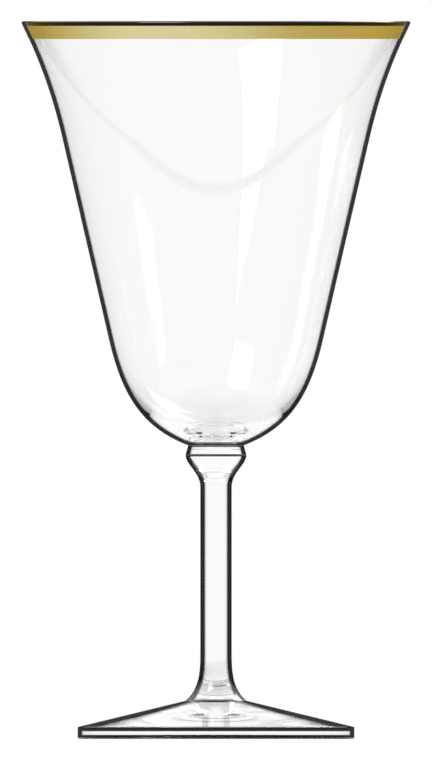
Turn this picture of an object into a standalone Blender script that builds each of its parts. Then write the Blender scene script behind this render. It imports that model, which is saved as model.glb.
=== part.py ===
"""Water goblet in clear crystal with a fired gold rim, standing on z = 0 about the +Z axis."""

import math

import bpy
from mathutils import Vector

# Sizes in metres, leans in degrees from upright.

# Foot
FOOT_RADIUS = 0.0347
FOOT_EDGE = 0.0030
FOOT_RISE = 0.00655
FOOT_RING = 0.0050
FOOT_HOLLOW = 0.0012

# Stem
TOE_RADIUS = 0.0076
TOE_LEAN = -50.0
TOE_LENGTH = 0.0124
STEM_RADIUS = 0.00394
SHAFT_LENGTH = 0.0411
SHOULDER_LENGTH = 0.0080

# Collar
COLLAR_RADIUS = 0.00764
COLLAR_NECK = 0.0070
COLLAR_HEIGHT = 0.0023

# Bowl
BASE_LEAN = 69.0
BELLY_RADIUS = 0.0268
BELLY_HEIGHT = 0.02635
TAPER_RADIUS = 0.03836
TAPER_HEIGHT = 0.0500
RIM_RADIUS = 0.04875
RIM_LEAN = 26.0
FLARE_HEIGHT = 0.02975
WALL = 0.0011
FLOOR = 0.0028
LIP_ROUND = 0.0002

# Gold
GOLD_THICKNESS = 0.00015
GOLD_OUTSIDE = 0.0044
GOLD_INSIDE = 0.0012

# Shared by all pieces
SEAM = 0.0001
EDGE_ROUND = 0.0003
STEPS = 56
CURVE_STEPS = 8
ROUND_STEPS = 2


def clear_scene():
    for item in list(bpy.data.objects):
        bpy.data.objects.remove(item, do_unlink=True)


def heading(lean):
    """Direction that leans outward from upright."""
    angle = math.radians(lean)
    return Vector((math.sin(angle), math.cos(angle)))


def bend(start, start_lean, end, end_lean, start_pull=0.36, end_pull=0.36):
    """Smooth stretch of profile that leaves start and reaches end on the given leans."""
    chord = (end - start).length
    first = start + heading(start_lean) * chord * start_pull
    last = end - heading(end_lean) * chord * end_pull
    points = []
    for step in range(CURVE_STEPS + 1):
        t = step / CURVE_STEPS
        points.append(
            start * (1 - t) ** 3
            + first * 3 * t * (1 - t) ** 2
            + last * 3 * t ** 2 * (1 - t)
            + end * t ** 3
        )
    return points


def rounded(before, corner, after, radius):
    """Arc that takes the point off a corner."""
    toward = (before - corner).normalized()
    away = (after - corner).normalized()
    half = toward.angle(away) / 2
    back = radius / math.tan(half)
    centre = corner + (toward + away).normalized() * radius / math.sin(half)
    start = corner + toward * back - centre
    sweep = start.angle_signed(corner + away * back - centre)
    points = []
    for step in range(ROUND_STEPS + 1):
        turn = -sweep * step / ROUND_STEPS
        across = start.x * math.cos(turn) - start.y * math.sin(turn)
        up = start.x * math.sin(turn) + start.y * math.cos(turn)
        points.append(centre + Vector((across, up)))
    return points


def beside(points, distance):
    """The same run of points moved to the left of its direction by a distance."""
    moved = []
    for index, point in enumerate(points):
        into = (point - points[max(index - 1, 0)]).normalized()
        out = (points[min(index + 1, len(points) - 1)] - point).normalized()
        along = (into + out).normalized()
        normal = Vector((-along.y, along.x))
        lean = max(along.dot(out), along.dot(into))
        moved.append(point + normal * distance / lean)
    return moved


def upper_part(points, height):
    """The stretch of an upward run that lies above a height, starting exactly on it."""
    for index, point in enumerate(points):
        if point.y > height:
            below = points[index - 1]
            share = (height - below.y) / (point.y - below.y)
            return [below.lerp(point, share)] + points[index:]
    return points[-1:]


def turned(name, profile, seat, material, ring=False):
    """Solid of revolution from a profile that runs down its outer side."""
    count = len(profile)
    edges = [(index, index + 1) for index in range(count - 1)]
    if ring:
        edges.append((count - 1, 0))
    mesh = bpy.data.meshes.new(name)
    mesh.from_pydata([(point.x, 0.0, point.y) for point in profile], edges, [])
    item = bpy.data.objects.new(name, mesh)
    item.location.z = seat
    mesh.materials.append(material)
    screw = item.modifiers.new("Turn", "SCREW")
    screw.axis = "Z"
    screw.steps = STEPS
    screw.render_steps = STEPS
    screw.use_merge_vertices = True
    screw.merge_threshold = 0.00001
    screw.use_smooth_shade = True
    return item


def glass(name, colour):
    material = bpy.data.materials.new(name)
    material.use_nodes = True
    shader = material.node_tree.nodes["Principled BSDF"]
    shader.inputs["Base Color"].default_value = colour
    shader.inputs["Roughness"].default_value = 0.02
    shader.inputs["IOR"].default_value = 1.54
    shader.inputs["Transmission Weight"].default_value = 1.0
    return material


def gold(name):
    material = bpy.data.materials.new(name)
    material.use_nodes = True
    shader = material.node_tree.nodes["Principled BSDF"]
    shader.inputs["Base Color"].default_value = (0.48, 0.34, 0.09, 1.0)
    shader.inputs["Metallic"].default_value = 1.0
    shader.inputs["Roughness"].default_value = 0.22
    return material


def foot_height():
    return FOOT_EDGE + FOOT_RISE


def stem_seat():
    return foot_height() + SEAM


def stem_length():
    return TOE_LENGTH + SHAFT_LENGTH + SHOULDER_LENGTH


def collar_seat():
    return stem_seat() + stem_length() + SEAM


def bowl_seat():
    return collar_seat() + COLLAR_HEIGHT + SEAM


def bowl_height():
    return BELLY_HEIGHT + TAPER_HEIGHT + FLARE_HEIGHT


def foot():
    """Disc with a sloping top and an upright edge, hollowed below inside its standing ring."""
    top = Vector((TOE_RADIUS, foot_height()))
    brow = Vector((FOOT_RADIUS, FOOT_EDGE))
    heel = Vector((FOOT_RADIUS, 0.0))
    ring = Vector((FOOT_RADIUS - FOOT_RING, 0.0))
    crown = Vector((0.0, FOOT_HOLLOW))
    hollow_lean = math.degrees(math.atan2(-ring.x, 2 * FOOT_HOLLOW))
    profile = [Vector((0.0, foot_height())), top]
    profile += rounded(top, brow, heel, EDGE_ROUND)
    profile += rounded(brow, heel, ring, EDGE_ROUND)
    profile += bend(ring, hollow_lean, crown, -90.0)
    return turned("foot", profile, 0.0, glass("foot_glass", (0.95, 0.97, 0.97, 1.0)))


def stem():
    """Round shaft that swells to the collar above and spreads to the foot below."""
    crown = Vector((0.0, stem_length()))
    shoulder = Vector((COLLAR_RADIUS, stem_length()))
    shaft_top = Vector((STEM_RADIUS, TOE_LENGTH + SHAFT_LENGTH))
    shaft_bottom = Vector((STEM_RADIUS, TOE_LENGTH))
    toe = Vector((TOE_RADIUS, 0.0))
    spread = bend(toe, TOE_LEAN, shaft_bottom, 0.0)
    swell = bend(shaft_top, 0.0, shoulder, 0.0, start_pull=0.42, end_pull=0.28)
    rising = spread + swell
    edge = rounded(crown, shoulder, rising[-2], EDGE_ROUND)
    profile = [crown] + edge + rising[-2::-1] + [Vector((0.0, 0.0))]
    return turned("stem", profile, stem_seat(), glass("stem_glass", (0.96, 0.98, 0.98, 1.0)))


def collar():
    """Short cone of glass between the stem and the bowl."""
    crown = Vector((0.0, COLLAR_HEIGHT))
    neck = Vector((COLLAR_NECK, COLLAR_HEIGHT))
    skirt = Vector((COLLAR_RADIUS, 0.0))
    base = Vector((0.0, 0.0))
    profile = [crown, neck] + rounded(neck, skirt, base, EDGE_ROUND) + [base]
    return turned("collar", profile, collar_seat(), glass("collar_glass", (0.95, 0.97, 0.98, 1.0)))


def taper_lean():
    return math.degrees(math.atan2(TAPER_RADIUS - BELLY_RADIUS, TAPER_HEIGHT))


def bowl_outside():
    """Outer side of the bowl from its base up to the rim."""
    base = Vector((COLLAR_NECK, 0.0))
    belly = Vector((BELLY_RADIUS, BELLY_HEIGHT))
    taper = Vector((TAPER_RADIUS, BELLY_HEIGHT + TAPER_HEIGHT))
    rim = Vector((RIM_RADIUS, bowl_height()))
    round_part = bend(base, BASE_LEAN, belly, taper_lean(), end_pull=0.45)
    flare = bend(taper, taper_lean(), rim, RIM_LEAN)
    return round_part + flare


def bowl_inside():
    """Inner side of the bowl from the rim down to the axis, one wall inside the outer side."""
    across = WALL / math.cos(math.radians(taper_lean()))
    lip = WALL / math.cos(math.radians(RIM_LEAN))
    rim = Vector((RIM_RADIUS - lip, bowl_height()))
    taper = Vector((TAPER_RADIUS - across, BELLY_HEIGHT + TAPER_HEIGHT))
    belly = Vector((BELLY_RADIUS - across, BELLY_HEIGHT))
    bottom = Vector((0.0, FLOOR))
    round_part = bend(bottom, 90.0, belly, taper_lean(), start_pull=0.42, end_pull=0.45)
    flare = bend(taper, taper_lean(), rim, RIM_LEAN)
    return flare[::-1] + round_part[::-1]


def bowl_lip():
    """Level lip of the bowl from its inner side over to its outer side, with both edges rounded."""
    outside = bowl_outside()
    inside = bowl_inside()
    radius = min(LIP_ROUND, WALL / 4)
    inner_edge = rounded(inside[1], inside[0], outside[-1], radius)
    outer_edge = rounded(inside[0], outside[-1], outside[-2], radius)
    return inner_edge + outer_edge


def bowl():
    """Cup with a thin wall, open at the top and flat where it meets the collar."""
    rising = bowl_inside()[:0:-1]
    falling = bowl_outside()[-2::-1]
    profile = rising + bowl_lip() + falling + [Vector((0.0, 0.0))]
    return turned("bowl", profile, bowl_seat(), glass("bowl_glass", (0.97, 0.98, 0.98, 1.0)))


def gold_rim():
    """Skin of gold outside the rim, over the lip and a little way down inside."""
    lip = bowl_lip()
    rising = upper_part(bowl_inside()[:0:-1] + lip[:1], bowl_height() - GOLD_INSIDE)
    falling = upper_part(bowl_outside()[:-1] + lip[-1:], bowl_height() - GOLD_OUTSIDE)[::-1]
    track = rising + lip[1:-1] + falling
    skin = beside(track, SEAM + GOLD_THICKNESS)
    back = beside(track, SEAM)
    return turned("gold_rim", skin + back[::-1], bowl_seat(), gold("rim_gold"), ring=True)


def assemble():
    collection = bpy.data.collections.new("water_goblet")
    bpy.context.scene.collection.children.link(collection)
    frame = bpy.data.objects.new("goblet_frame", None)
    collection.objects.link(frame)
    for piece in (foot(), stem(), collar(), bowl(), gold_rim()):
        collection.objects.link(piece)
        piece.parent = frame


clear_scene()
assemble()
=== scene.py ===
import math
import bpy
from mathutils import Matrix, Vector


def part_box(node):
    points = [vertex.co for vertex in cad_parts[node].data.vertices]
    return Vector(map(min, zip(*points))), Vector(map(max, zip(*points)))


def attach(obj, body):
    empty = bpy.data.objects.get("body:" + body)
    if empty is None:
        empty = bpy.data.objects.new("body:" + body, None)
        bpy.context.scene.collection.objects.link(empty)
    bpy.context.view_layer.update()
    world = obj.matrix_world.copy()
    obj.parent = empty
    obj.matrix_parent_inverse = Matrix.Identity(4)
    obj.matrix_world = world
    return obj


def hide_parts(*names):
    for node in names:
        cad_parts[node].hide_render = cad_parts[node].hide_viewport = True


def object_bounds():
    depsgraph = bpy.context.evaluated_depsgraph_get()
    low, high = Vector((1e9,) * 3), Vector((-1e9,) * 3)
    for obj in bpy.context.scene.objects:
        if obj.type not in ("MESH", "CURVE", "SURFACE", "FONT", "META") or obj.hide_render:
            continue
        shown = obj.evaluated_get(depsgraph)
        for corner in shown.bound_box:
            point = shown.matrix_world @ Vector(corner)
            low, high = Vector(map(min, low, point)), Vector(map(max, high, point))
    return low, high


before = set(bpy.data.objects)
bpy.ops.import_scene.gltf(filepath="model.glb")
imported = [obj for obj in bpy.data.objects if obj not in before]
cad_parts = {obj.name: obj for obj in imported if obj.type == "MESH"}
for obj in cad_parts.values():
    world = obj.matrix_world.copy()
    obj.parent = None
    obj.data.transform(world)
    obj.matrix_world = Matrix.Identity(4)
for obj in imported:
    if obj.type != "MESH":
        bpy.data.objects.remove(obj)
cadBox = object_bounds()
print("frame loaded:", ", ".join(sorted(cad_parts)))

scene = bpy.context.scene
scene.view_settings.view_transform = "Standard"
scene.cycles.max_bounces = 48              # light crosses many walls of glass
scene.cycles.transmission_bounces = 48
scene.cycles.glossy_bounces = 16

turnSet = {
    "steps": 144,               # flats round the axis, small enough to look round
    "cornerPoints": 14,
    "seed": 0.001,              # the plane that is merged to the first point
    "weld": 0.0000005,          # closes the seam and the poles
    "smoothTo": 11.0,           # degrees, sharper edges stay sharp
    "fuseGap": 0.00001,         # half of the hairline left where hot glass was joined
    "fuseReach": 0.000002,      # faces this near a joint's height are fused
    "fuseLevel": 0.999,
}


# profiles: every point is (radius, height), leans are degrees from upright

def leanDir(lean):
    return Vector((math.sin(math.radians(lean)), math.cos(math.radians(lean))))


def sweep(start, startLean, end, endLean, count, startPull=0.36, endPull=0.36):
    start, end = Vector(start), Vector(end)
    reach = (end - start).length
    first = start + leanDir(startLean) * reach * startPull
    last = end - leanDir(endLean) * reach * endPull
    points = []
    for step in range(count + 1):
        t = step / count
        points.append(start * (1 - t) ** 3 + first * 3 * t * (1 - t) ** 2
                      + last * 3 * t ** 2 * (1 - t) + end * t ** 3)
    return points


def roundOff(before, corner, after, radius):
    before, corner, after = Vector(before), Vector(corner), Vector(after)
    toward = (before - corner).normalized()
    away = (after - corner).normalized()
    half = toward.angle(away) / 2
    centre = corner + (toward + away).normalized() * radius / math.sin(half)
    start = corner + toward * radius / math.tan(half) - centre
    end = corner + away * radius / math.tan(half) - centre
    turn = start.angle_signed(end)
    points = []
    for step in range(turnSet["cornerPoints"] + 1):
        a = -turn * step / turnSet["cornerPoints"]
        points.append(centre + Vector((start.x * math.cos(a) - start.y * math.sin(a),
                                       start.x * math.sin(a) + start.y * math.cos(a))))
    return points


def straight(start, end, count):
    start, end = Vector(start), Vector(end)
    return [start.lerp(end, step / count) for step in range(count + 1)]


# a plane is merged to a point, run along the profile by extruding, then spun round the axis

def drawLine(name, points):
    bpy.ops.object.select_all(action="DESELECT")
    bpy.ops.mesh.primitive_plane_add(size=turnSet["seed"])
    piece = bpy.context.object
    piece.name = piece.data.name = name
    bpy.ops.object.mode_set(mode="EDIT")
    bpy.ops.mesh.merge(type="CENTER")
    bpy.ops.transform.translate(value=points[0])
    for here, there in zip(points, points[1:]):
        bpy.ops.mesh.extrude_vertices_move(TRANSFORM_OT_translate={"value": there - here})
    bpy.ops.object.mode_set(mode="OBJECT")
    return piece


def turnPiece(name, profile):
    piece = drawLine(name, [Vector((point.x, 0.0, point.y)) for point in profile])
    bpy.ops.object.mode_set(mode="EDIT")
    bpy.ops.mesh.select_all(action="SELECT")
    bpy.ops.mesh.spin(steps=turnSet["steps"], angle=2 * math.pi, center=(0, 0, 0), axis=(0, 0, 1))
    bpy.ops.mesh.select_all(action="SELECT")
    bpy.ops.mesh.remove_doubles(threshold=turnSet["weld"])
    bpy.ops.mesh.normals_make_consistent(inside=False)
    bpy.ops.object.mode_set(mode="OBJECT")
    bpy.ops.object.shade_smooth_by_angle(angle=math.radians(turnSet["smoothTo"]))
    return piece


# the faces at a joint get the see-through finish, the rest keep the crystal

def fuseFaces(piece, *heights):
    piece.data.materials.append(fused)
    for face in piece.data.polygons:
        near = any(abs(face.center.z - height) < turnSet["fuseReach"] for height in heights)
        if near and abs(face.normal.z) > turnSet["fuseLevel"]:
            face.material_index = 1


# shader maths

class Sock:
    def __init__(self, tree, out=None):
        self.tree, self.out = tree, out

    def add(self, kind, settings=None, sockets=None, out=0):
        made = self.tree.nodes.new(kind)
        for key, value in (settings or {}).items():
            setattr(made, key, value)
        for key, value in (sockets or {}).items():
            if isinstance(value, Sock):
                self.tree.links.new(value.out, made.inputs[key])
            else:
                made.inputs[key].default_value = value
        return Sock(self.tree, made.outputs[out] if made.outputs else None)

    def beside(self, name):
        return Sock(self.tree, self.out.node.outputs[name])

    def part(self, axis):
        return self.add("ShaderNodeSeparateXYZ", {}, {"Vector": self}, axis)

    def ramp(self, low, high):
        return self.add("ShaderNodeMapRange", {"interpolation_type": "SMOOTHSTEP"},
                        {"Value": self, "From Min": low, "From Max": high})

    def noise(self, scale, detail):
        return self.add("ShaderNodeTexNoise", {}, {"Vector": self, "Scale": scale, "Detail": detail}, "Fac")

    def mixed(self, first, second):
        return self.add("ShaderNodeMix", {"data_type": "RGBA"}, {0: self, 6: first, 7: second}, 2)

    def vectors(self, how, other=(0.0, 0.0, 0.0)):
        out = "Value" if how in ("LENGTH", "DOT_PRODUCT") else "Vector"
        return self.add("ShaderNodeVectorMath", {"operation": how}, {0: self, 1: other}, out)

    def maths(self, how, a, b=0.0):
        return self.add("ShaderNodeMath", {"operation": how}, {0: a, 1: b})

    def __add__(self, other):
        return self.maths("ADD", self, other)

    def __radd__(self, other):
        return self.maths("ADD", other, self)

    def __sub__(self, other):
        return self.maths("SUBTRACT", self, other)

    def __rsub__(self, other):
        return self.maths("SUBTRACT", other, self)

    def __mul__(self, other):
        return self.maths("MULTIPLY", self, other)

    def __rmul__(self, other):
        return self.maths("MULTIPLY", other, self)

    def __truediv__(self, other):
        return self.maths("DIVIDE", self, other)

    def __rtruediv__(self, other):
        return self.maths("DIVIDE", other, self)

    def __pow__(self, other):
        return self.maths("POWER", self, other)


def startMaterial(name):
    material = bpy.data.materials.new(name)
    material.use_nodes = True
    material.node_tree.nodes.clear()
    return material, Sock(material.node_tree)


def finishMaterial(wire, shader):
    wire.add("ShaderNodeOutputMaterial", {}, {"Surface": shader})


edgeSet = {
    "fade": (0.88, 1.1),        # shares of the edge's width
    "tiny": 0.00001,            # keeps the division whole on the axis
    "level": 1.0001,            # keeps the root whole on level faces
}


# a turned surface: its place, distance from the axis, how far it faces outward and how upright it stands

def turnedSurface(wire):
    place = wire.add("ShaderNodeTexCoord", out="Object")
    normal = place.beside("Normal")
    flat = place.vectors("MULTIPLY", (1.0, 1.0, 0.0))
    facing = flat.vectors("NORMALIZE").vectors("DOT_PRODUCT", normal)
    lift = normal.part("Z")
    return place, flat.vectors("LENGTH"), facing, (edgeSet["level"] - lift * lift) ** 0.5


# where it turns away from the viewer, by the same width on the thin stem and the wide bowl

def turnedAway(wire, radius, upright, width):
    share = wire.maths("MINIMUM", width / (upright * radius + edgeSet["tiny"]), 1.0)
    limit = upright * (share * (2 - share)) ** 0.5
    cosine = 1 - wire.add("ShaderNodeLayerWeight", out="Facing")
    return 1 - (cosine / limit).ramp(*edgeSet["fade"])


glassSet = {
    "ior": 1.52, "clear": (0.992, 0.995, 0.994, 1.0),
    "paintedShadeAndJoints": (0.0004, 0.0004, 0.0005, 1.0),       # painted shade where the glass turns away from the viewer and at the foot's edge, and the dark joint lines
    "film": (240.0, 3.0), "rough": 0.004,         # noise scale and detail, roughest
    "wave": (45.0, 1.0), "waveBump": 0.1, "waveDepth": 0.0003,
    "ringFade": (0.35, 0.6), "leastFade": 0.0002,
}


def crystalMaterial(name, darkEdge, rings):
    s = glassSet
    material, wire = startMaterial(name)
    place, radius, facing, upright = turnedSurface(wire)
    height = place.part("Z")
    # painted shade: near-black where the outside turns away from the viewer, standing in for the dark edges
    # of glass
    paintedShadeAndJoints = turnedAway(wire, radius, upright, darkEdge) * wire.maths("GREATER_THAN", facing, 0.0)
    # dark joint lines, and painted shade rings at the foot's edge corners
    for middle, wide, least in rings:
        away = wire.maths("ABSOLUTE", height - middle)
        inner, outer = (wide * share for share in s["ringFade"])
        ring = (1 - away.ramp(inner, outer)) * radius.ramp(least - s["leastFade"], least)
        paintedShadeAndJoints = wire.maths("MAXIMUM", paintedShadeAndJoints, ring)
    paintedShadeAndJoints = paintedShadeAndJoints * (1 - wire.add("ShaderNodeNewGeometry", out="Backfacing"))     # only where light enters
    bump = wire.add("ShaderNodeBump", {}, {
        "Strength": s["waveBump"], "Distance": s["waveDepth"], "Height": place.noise(*s["wave"])})
    shader = wire.add("ShaderNodeBsdfPrincipled", {}, {
        "Base Color": paintedShadeAndJoints.mixed(s["clear"], s["paintedShadeAndJoints"]), "Roughness": place.noise(*s["film"]) * s["rough"],
        "IOR": s["ior"], "Transmission Weight": 1.0, "Normal": bump})
    finishMaterial(wire, shader)
    return material


def fusedMaterial():
    material, wire = startMaterial("fusedGlass")
    shader = wire.add("ShaderNodeBsdfPrincipled", {}, {
        "Base Color": (1.0, 1.0, 1.0, 1.0), "Roughness": 0.0, "Alpha": 0.0})
    finishMaterial(wire, shader)
    return material


fused = fusedMaterial()
print("shared finishes ready")

# each joint lies halfway between its two solids
footBox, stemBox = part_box("foot"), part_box("stem")
collarBox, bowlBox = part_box("collar"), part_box("bowl")
footTop = (footBox[1].z + stemBox[0].z) / 2
collarLow = (stemBox[1].z + collarBox[0].z) / 2
bowlLow = (collarBox[1].z + bowlBox[0].z) / 2

# a piece's rings are dark lines at its joints, and painted shade at the foot's edge corners: height, width,
# least radius

footSet = {
    "radius": 0.0347, "edge": 0.0030, "top": 0.0076, "edgeRound": 0.0003,
    "ring": 0.0050, "hollow": 0.0012,
    "slopePoints": 16, "edgePoints": 24, "ringPoints": 6, "hollowPoints": 24,
    "darkEdge": 0.0013,
    # the brow and heel rings are painted shade at the foot's edge, the last ring is the dark joint with the
    # stem
    "rings": ((0.00245, 0.0012, 0.0338), (0.0005, 0.0012, 0.0338), (0.0094, 0.00045, 0.0)),
}


def makeFoot():
    s = footSet
    high = footTop - turnSet["fuseGap"]
    top, brow, heel = (s["top"], high), (s["radius"], s["edge"]), (s["radius"], 0.0)
    ring, hollow = (s["radius"] - s["ring"], 0.0), (0.0, s["hollow"])
    hollowLean = -math.degrees(math.atan2(ring[0], 2 * s["hollow"]))
    brim = roundOff(top, brow, heel, s["edgeRound"])
    sole = roundOff(brow, heel, ring, s["edgeRound"])
    profile = [Vector((0.0, high))] + straight(top, brim[0], s["slopePoints"])[:-1] + brim
    profile += straight(brim[-1], sole[0], s["edgePoints"])[1:-1] + sole
    profile += straight(sole[-1], ring, s["ringPoints"])[1:-1]
    profile += sweep(ring, hollowLean, hollow, -90.0, s["hollowPoints"])
    piece = turnPiece("footGlass", profile)
    piece.data.materials.append(crystalMaterial("footCrystal", s["darkEdge"], s["rings"]))
    fuseFaces(piece, high)
    return piece


stemSet = {
    "radius": 0.00394, "toe": 0.0076, "toeLean": -50.0, "shaftLow": 0.02205, "shaftHigh": 0.06315,
    "shoulder": 0.00764, "swellPulls": (0.42, 0.28), "edgeRound": 0.00012,
    "toePoints": 28, "shaftPoints": 20, "swellPoints": 24,
    "darkEdge": 0.0014,
    "rings": ((0.0097, 0.0003, 0.0), (0.0711, 0.0006, 0.0)),
}


def makeStem():
    s = stemSet
    low, high = footTop + turnSet["fuseGap"], collarLow - turnSet["fuseGap"]
    toe, shoulder = (s["toe"], low), (s["shoulder"], high)
    shaftLow, shaftHigh = (s["radius"], s["shaftLow"]), (s["radius"], s["shaftHigh"])
    spread = sweep(toe, s["toeLean"], shaftLow, 0.0, s["toePoints"])
    swell = sweep(shaftHigh, 0.0, shoulder, 0.0, s["swellPoints"], *s["swellPulls"])
    rising = spread + straight(spread[-1], swell[0], s["shaftPoints"])[1:-1] + swell
    edge = roundOff((0.0, high), rising[-1], rising[-2], s["edgeRound"])
    profile = [Vector((0.0, high))] + edge + rising[-2::-1] + [Vector((0.0, low))]
    piece = turnPiece("stemGlass", profile)
    piece.data.materials.append(crystalMaterial("stemCrystal", s["darkEdge"], s["rings"]))
    fuseFaces(piece, low, high)
    return piece


collarSet = {
    "radius": 0.00764, "neck": 0.0070, "edgeRound": 0.00012,
    "darkEdge": 0.00125,
    "rings": ((0.07345, 0.0005, 0.0), (0.0713, 0.0003, 0.0)),
}


def makeCollar():
    s = collarSet
    low, high = collarLow + turnSet["fuseGap"], bowlLow - turnSet["fuseGap"]
    neck, skirt = (s["neck"], high), (s["radius"], low)
    profile = [Vector((0.0, high)), Vector(neck)]
    profile += roundOff(neck, skirt, (0.0, low), s["edgeRound"])
    profile += [Vector((0.0, low))]
    piece = turnPiece("collarGlass", profile)
    piece.data.materials.append(crystalMaterial("collarCrystal", s["darkEdge"], s["rings"]))
    fuseFaces(piece, low, high)
    return piece


bowlSet = {
    "neck": 0.0070, "baseLean": 69.0, "belly": (0.0268, 0.1000), "taper": (0.03836, 0.1500),
    "rim": 0.04895, "rimLean": 26.0, "wall": 0.0011, "floor": 0.0028, "lipRound": 0.00042,
    "goldRoom": 0.00007,        # left above the lip for the gold
    "bottomPull": 0.42, "bellyPull": 0.45,
    "bellyPoints": 40, "taperPoints": 20, "flarePoints": 40,
    "darkEdge": 0.00125,
    "rings": ((0.0740, 0.0009, 0.0),),
}
bowlBase = bowlLow + turnSet["fuseGap"]
rimTop = cadBox[1].z - bowlSet["goldRoom"]


def bowlSides():
    s = bowlSet
    neck, belly, taper, rim = (s["neck"], bowlBase), s["belly"], s["taper"], (s["rim"], rimTop)
    lean = math.degrees(math.atan2(taper[0] - belly[0], taper[1] - belly[1]))
    outside = sweep(neck, s["baseLean"], belly, lean, s["bellyPoints"], endPull=s["bellyPull"])
    outside += straight(belly, taper, s["taperPoints"])[1:-1]
    outside += sweep(taper, lean, rim, s["rimLean"], s["flarePoints"])
    across = s["wall"] / math.cos(math.radians(lean))
    lip = s["wall"] / math.cos(math.radians(s["rimLean"]))
    bottom, rim = (0.0, bowlBase + s["floor"]), (s["rim"] - lip, rimTop)
    belly, taper = (belly[0] - across, belly[1]), (taper[0] - across, taper[1])
    inside = sweep(bottom, 90.0, belly, lean, s["bellyPoints"], s["bottomPull"], s["bellyPull"])
    inside += straight(belly, taper, s["taperPoints"])[1:-1]
    inside += sweep(taper, lean, rim, s["rimLean"], s["flarePoints"])
    return inside, outside


def bowlLip(inside, outside):
    return (roundOff(inside[-2], inside[-1], outside[-1], bowlSet["lipRound"])
            + roundOff(inside[-1], outside[-1], outside[-2], bowlSet["lipRound"]))


def makeBowl():
    s = bowlSet
    inside, outside = bowlSides()
    profile = inside[:-1] + bowlLip(inside, outside) + outside[-2::-1]
    profile += [Vector((0.0, bowlBase))]
    piece = turnPiece("bowlGlass", profile)
    piece.data.materials.append(crystalMaterial("bowlCrystal", s["darkEdge"], s["rings"]))
    fuseFaces(piece, bowlBase)
    return piece


goldSet = {
    "outside": 0.0044, "inside": 0.0012, "lift": 0.00002, "thick": 0.00004,
    # deep is the gold's own colour, the pale one is a painted highlight
    "deep": (0.56, 0.405, 0.08, 1.0), "paintedSheenGold": (0.80, 0.725, 0.385, 1.0), "edge": (0.72, 0.62, 0.40, 1.0),
    "sheenMiddle": (-0.29, -0.96), "sheenSpread": 3.0,            # the way to the middle of the painted highlight, from above
    # painted shade: a near-black line round the outside of the lip
    "lipShadeTone": (0.015, 0.012, 0.005, 1.0), "lineHeight": 0.00115, "lineFade": 0.0001,
    "outward": (0.03, 0.15),                                # the line keeps off the lip's top and inside
    "brush": (60.0, 60.0, 3000.0), "brushNoise": (1.0, 3.0),
    "brushTone": 0.4, "brushBump": 0.15, "brushDepth": 0.00005,
    "film": (500.0, 4.0), "rough": 0.24, "roughSpread": 0.12,
    "glossEdge": 0.00115, "glazeIor": 1.5,
}


# the gold carries a painted highlight, pale and deep twice round, is brushed along the band, has a painted
# shade line at the lip and is glazed

def goldMaterial():
    s = goldSet
    material, wire = startMaterial("firedGold")
    place, radius, facing, upright = turnedSurface(wire)
    x, y, height = (place.part(axis) for axis in "XYZ")
    turn = wire.maths("ARCTAN2", y, x) - math.atan2(s["sheenMiddle"][1], s["sheenMiddle"][0])
    streak = place.vectors("MULTIPLY", s["brush"]).noise(*s["brushNoise"])
    # painted highlight: the base colour goes pale twice round the band, palest toward one side, with brushed
    # streaks
    paintedSheenAndBrush = (0.5 + 0.5 * wire.maths("COSINE", turn * 2)) ** s["sheenSpread"]
    paintedSheenAndBrush = paintedSheenAndBrush + (streak - 0.5) * s["brushTone"]
    outside = facing.ramp(*s["outward"])
    # painted shade: the top of the band's outside is coloured near-black
    lineLow = rimTop - s["lineHeight"]
    paintedLipShade = height.ramp(lineLow - s["lineFade"], lineLow + s["lineFade"]) * outside
    gloss = turnedAway(wire, radius, upright, s["glossEdge"]) * outside
    rough = (s["rough"] + place.noise(*s["film"]) * s["roughSpread"]) * (1 - gloss)
    bump = wire.add("ShaderNodeBump", {}, {
        "Strength": s["brushBump"], "Distance": s["brushDepth"], "Height": streak})
    shader = wire.add("ShaderNodeBsdfPrincipled", {}, {
        "Base Color": paintedLipShade.mixed(paintedSheenAndBrush.mixed(s["deep"], s["paintedSheenGold"]), s["lipShadeTone"]),
        "Roughness": rough, "Metallic": 1.0, "Normal": bump, "Specular Tint": s["edge"],
        "Coat Weight": 1.0, "Coat Roughness": 0.0, "Coat IOR": s["glazeIor"]})
    finishMaterial(wire, shader)
    return material


def above(points, height):
    for index, point in enumerate(points):
        if point.y > height:
            share = (height - points[index - 1].y) / (point.y - points[index - 1].y)
            return [points[index - 1].lerp(point, share)] + points[index:]


def besideLine(points, distance):
    moved = []
    for index, point in enumerate(points):
        into = (point - points[max(index - 1, 0)]).normalized()
        out = (points[min(index + 1, len(points) - 1)] - point).normalized()
        along = (into + out).normalized()
        moved.append(point + Vector((-along.y, along.x)) * distance)
    return moved


def makeGold():
    s = goldSet
    inside, outside = bowlSides()
    lip = bowlLip(inside, outside)
    rising = above(inside[:-1] + lip[:1], rimTop - s["inside"])
    falling = above(outside[:-1] + lip[-1:], rimTop - s["outside"])[::-1]
    track = rising + lip[1:-1] + falling
    skin = besideLine(track, s["lift"] + s["thick"])
    back = besideLine(track, s["lift"])[::-1]
    piece = turnPiece("goldBand", skin + back + skin[:1])
    piece.data.materials.append(goldMaterial())
    return piece


makers = {
    "foot": (makeFoot, "stem_glass"),
    "stem": (makeStem, "stem_glass"),
    "collar": (makeCollar, "stem_glass"),
    "bowl": (makeBowl, "bowl_glass"),
    "gold_rim": (makeGold, "rim_gold"),
}
for node, (maker, slotName) in makers.items():
    made = maker()
    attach(made, "root")
    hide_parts(node)
    print("made", made.name, len(made.data.polygons), "faces")


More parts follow.
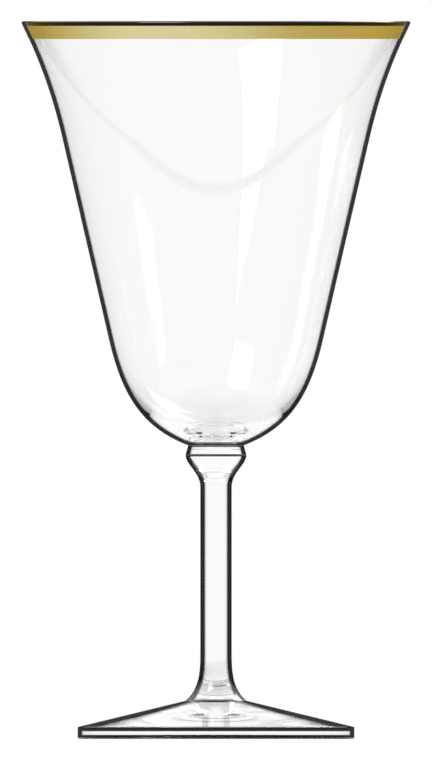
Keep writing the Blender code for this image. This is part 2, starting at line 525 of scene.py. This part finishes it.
stageSet = {
    "floorSize": 8.0, "floorDrop": 0.0001, "floorTone": (0.86, 0.86, 0.86, 1.0),
    "white": (1.0, 1.0, 1.0, 1.0), "fade": (0.10, 0.90),    # the floor goes white with distance
    "worldLight": 0.55,         # plain fill, the lamps bring the rest
    "room": 0.06,               # the dim room that polished glass mirrors
    "table": (0.09, 0.15),      # how far the pale floor reaches in it
    "glow": (15.5, 21.5, 50.0, 65.0),                       # the lit part of it, degrees up
    "lamps": (("keyLamp", (-0.55, -0.75, 0.85), 7.0), ("backLamp", (0.55, 0.75, 0.85), 5.0)),
    "lampSize": 0.5,
    "middle": 0.09,             # half the goblet's height, for the lamps and the camera
}


# what a ray is: seen direct or through glass, mirrored by polished glass, or by the satin gold

def rayKinds(wire):
    path = wire.add("ShaderNodeLightPath")
    through, sharp = path.beside("Is Transmission Ray"), path.beside("Is Singular Ray")
    bounced = path.beside("Is Glossy Ray") * (1 - through)
    return path.beside("Is Camera Ray") + through, bounced * sharp, bounced * (1 - sharp)


def makeFloor():
    s = stageSet
    bpy.ops.object.select_all(action="DESELECT")
    bpy.ops.mesh.primitive_plane_add(size=s["floorSize"], location=(0, 0, -s["floorDrop"]))
    floor = bpy.context.object
    floor.name = "paleFloor"
    bpy.ops.object.transform_apply(location=True, rotation=False, scale=False)
    material, wire = startMaterial("paleFloor")
    away = wire.add("ShaderNodeTexCoord", out="Object").vectors("LENGTH")
    mirrored = rayKinds(wire)[1]
    fade = away.ramp(*s["fade"]) * (1 - mirrored) + away.ramp(*s["table"]) * mirrored
    paint = wire.add("ShaderNodeBsdfDiffuse", {}, {"Color": s["floorTone"]})
    level = 1 - (1 - s["room"]) * mirrored
    white = wire.add("ShaderNodeEmission", {}, {"Color": s["white"], "Strength": level})
    finishMaterial(wire, wire.add("ShaderNodeMixShader", {}, {0: fade, 1: paint, 2: white}))
    floor.data.materials.append(material)


def makeLamps():
    for name, place, power in stageSet["lamps"]:
        bpy.ops.object.select_all(action="DESELECT")
        aim = Vector((0, 0, stageSet["middle"])) - Vector(place)
        turn = aim.to_track_quat("-Z", "Y").to_euler()
        bpy.ops.object.light_add(type="AREA", location=place, rotation=turn)
        lamp = bpy.context.object
        lamp.name = name
        lamp.data.size, lamp.data.energy = stageSet["lampSize"], power


def makeWorld():
    s = stageSet
    world = bpy.data.worlds.new("studio")
    scene.world = world
    world.use_nodes = True
    world.node_tree.nodes.clear()
    wire = Sock(world.node_tree)
    seen, mirrored, satin = rayKinds(wire)
    plain = 1 - seen - mirrored - satin
    up = wire.add("ShaderNodeTexCoord", out="Generated").part("Z")
    rise = [math.sin(math.radians(degrees)) for degrees in s["glow"]]
    glow = up.ramp(rise[0], rise[1]) - up.ramp(rise[2], rise[3])
    level = seen + satin + mirrored * (s["room"] + (1 - s["room"]) * glow) + plain * s["worldLight"]
    shader = wire.add("ShaderNodeBackground", {}, {"Color": s["white"], "Strength": level})
    wire.add("ShaderNodeOutputWorld", {}, {"Surface": shader})


viewSet = {
    "gobletHeight": 0.18, "gobletPixels": 717.86, "framePixels": 760,
    "distance": 1.0, "clip": (0.01, 20.0),
}


# a level view with no perspective, as the drawing has

def makeCamera():
    s = viewSet
    data = bpy.data.cameras.new("viewer")
    data.type = "ORTHO"
    data.ortho_scale = s["gobletHeight"] * s["framePixels"] / s["gobletPixels"]
    data.clip_start, data.clip_end = s["clip"]
    camera = bpy.data.objects.new("viewer", data)
    camera.location = (0.0, -s["distance"], stageSet["middle"])
    camera.rotation_euler = (math.pi / 2, 0.0, 0.0)
    scene.collection.objects.link(camera)
    scene.camera = camera


makeFloor()
makeLamps()
makeWorld()
makeCamera()
print("stage set")
